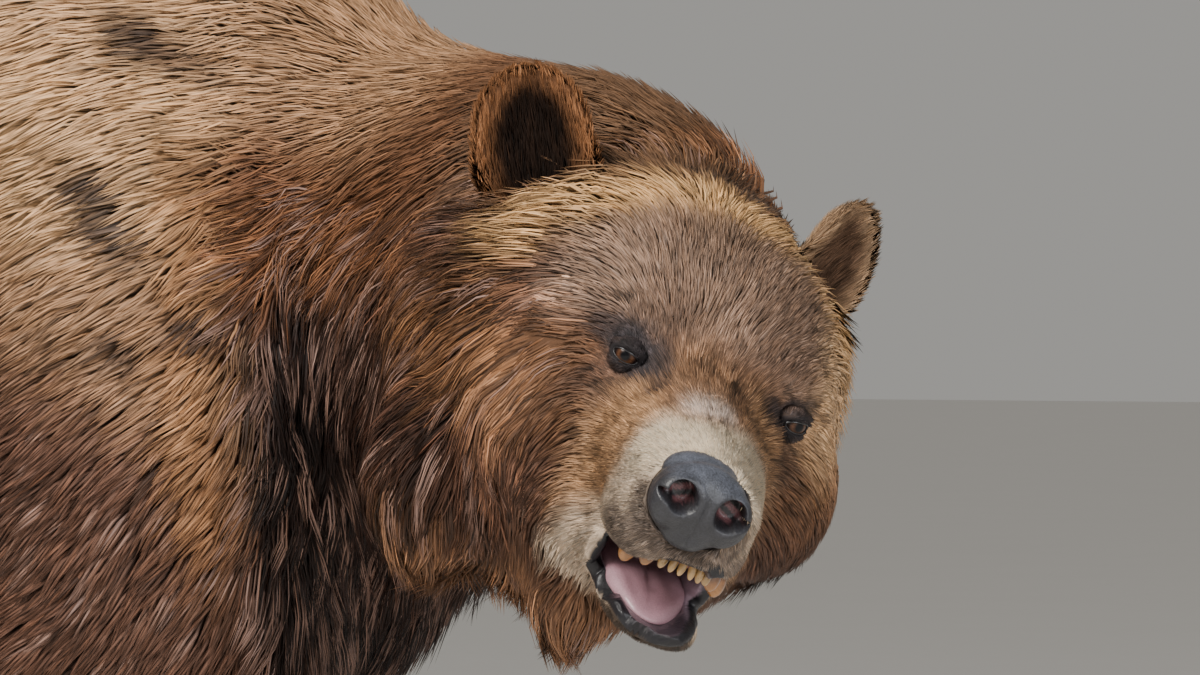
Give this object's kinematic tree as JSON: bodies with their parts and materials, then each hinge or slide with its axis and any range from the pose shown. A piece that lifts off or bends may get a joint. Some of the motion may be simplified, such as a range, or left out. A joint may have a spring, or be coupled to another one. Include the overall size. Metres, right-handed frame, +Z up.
{
  "type": "brown bear",
  "caption": "Standing brown bear, a life-size still model, head low and turned to its right, mouth a little open.",
  "frame": {"origin": "on the ground, under the middle of the whole bear's box", "axes": "+X the way the bear walks, +Y its left, +Z up"},
  "size_m": [1.7864, 0.863, 1.1486],
  "materials": {
    "coat": "fur",
    "nose_leather": "moist leather",
    "eye": "wet gloss",
    "tooth": "worn enamel",
    "mouth_flesh": "wet",
    "claw_horn": "satin"
  },
  "bodies": {
    "root": {"claw_fore_left_1": "claw_horn", "claw_fore_left_2": "claw_horn", "claw_fore_left_3": "claw_horn", "claw_fore_left_4": "claw_horn", "claw_fore_left_5": "claw_horn", "claw_fore_right_1": "claw_horn", "claw_fore_right_2": "claw_horn", "claw_fore_right_3": "claw_horn", "claw_fore_right_4": "claw_horn", "claw_fore_right_5": "claw_horn", "claw_hind_left_1": "claw_horn", "claw_hind_left_2": "claw_horn", "claw_hind_left_3": "claw_horn", "claw_hind_left_4": "claw_horn", "claw_hind_left_5": "claw_horn", "claw_hind_right_1": "claw_horn", "claw_hind_right_2": "claw_horn", "claw_hind_right_3": "claw_horn", "claw_hind_right_4": "claw_horn", "claw_hind_right_5": "claw_horn", "ear_left": "coat", "ear_right": "coat", "eye_left": "eye", "eye_right": "eye", "foreleg_left": "coat", "foreleg_right": "coat", "forepaw_left": "coat", "forepaw_right": "coat", "head": "coat", "hind_paw_left": "coat", "hind_paw_right": "coat", "lower_jaw": "coat", "neck": "coat", "nose": "nose_leather", "shank_left": "coat", "shank_right": "coat", "tail": "coat", "thigh_left": "coat", "thigh_right": "coat", "tongue": "mouth_flesh", "trunk": "coat", "upper_teeth": "tooth"}
  },
  "joints": []
}
